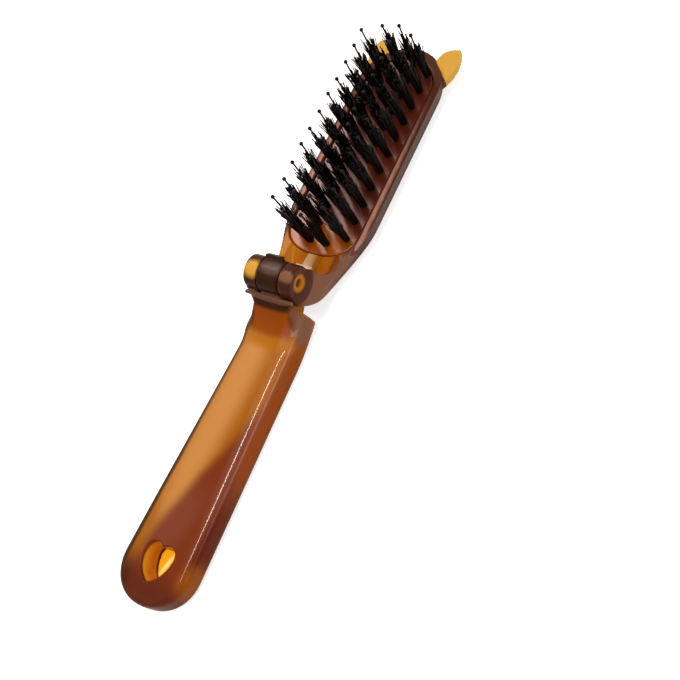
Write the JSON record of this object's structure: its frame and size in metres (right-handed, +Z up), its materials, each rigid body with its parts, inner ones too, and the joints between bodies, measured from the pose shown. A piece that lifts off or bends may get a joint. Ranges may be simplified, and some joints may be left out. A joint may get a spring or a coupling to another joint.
{
  "type": "folding_hairbrush",
  "caption": "Pocket hairbrush of translucent tortoiseshell plastic: a tufted head with two small ears and a back mirror folds over a solid handle.",
  "frame": {"origin": "Bottom centre of the open brush's bounding box, on the surface that it lies on.", "axes": "+X along the open brush from the heel of the handle to the ears, +Y across it, +Z up, the way the bristles point."},
  "size_m": [0.1794, 0.0296, 0.0268],
  "materials": {
    "tortoise_plastic": "polished translucent brown and amber",
    "amber_plastic": "polished translucent amber",
    "bristle_nylon": "black nylon filament",
    "steel": "drawn wire",
    "mirror": "silvered glass",
    "tape": "foam adhesive tape"
  },
  "bodies": {
    "handle": {"handle_shell": "tortoise_plastic", "handle_cover": "tortoise_plastic"},
    "head": {"head_shell": "tortoise_plastic", "bristle_pad": "amber_plastic", "tuft_row_1": "bristle_nylon", "tuft_row_2": "bristle_nylon", "tuft_row_3": "bristle_nylon", "tuft_row_4": "bristle_nylon", "pin_row_1": "bristle_nylon", "pin_row_2": "bristle_nylon", "pin_row_3": "bristle_nylon", "pin_row_4": "bristle_nylon", "anchor_row_1": "steel", "anchor_row_2": "steel", "anchor_row_3": "steel", "anchor_row_4": "steel", "mirror_glass": "mirror", "mirror_tape": "tape", "hinge_pin": "steel", "hinge_stop": "amber_plastic"}
  },
  "joints": [
    {"name": "fold", "type": "hinge", "parent": "handle", "child": "head", "pos_m": [-0.00094, 0, 0.0194], "axis": [0, -1, 0], "range_deg": [0, 180]}
  ]
}
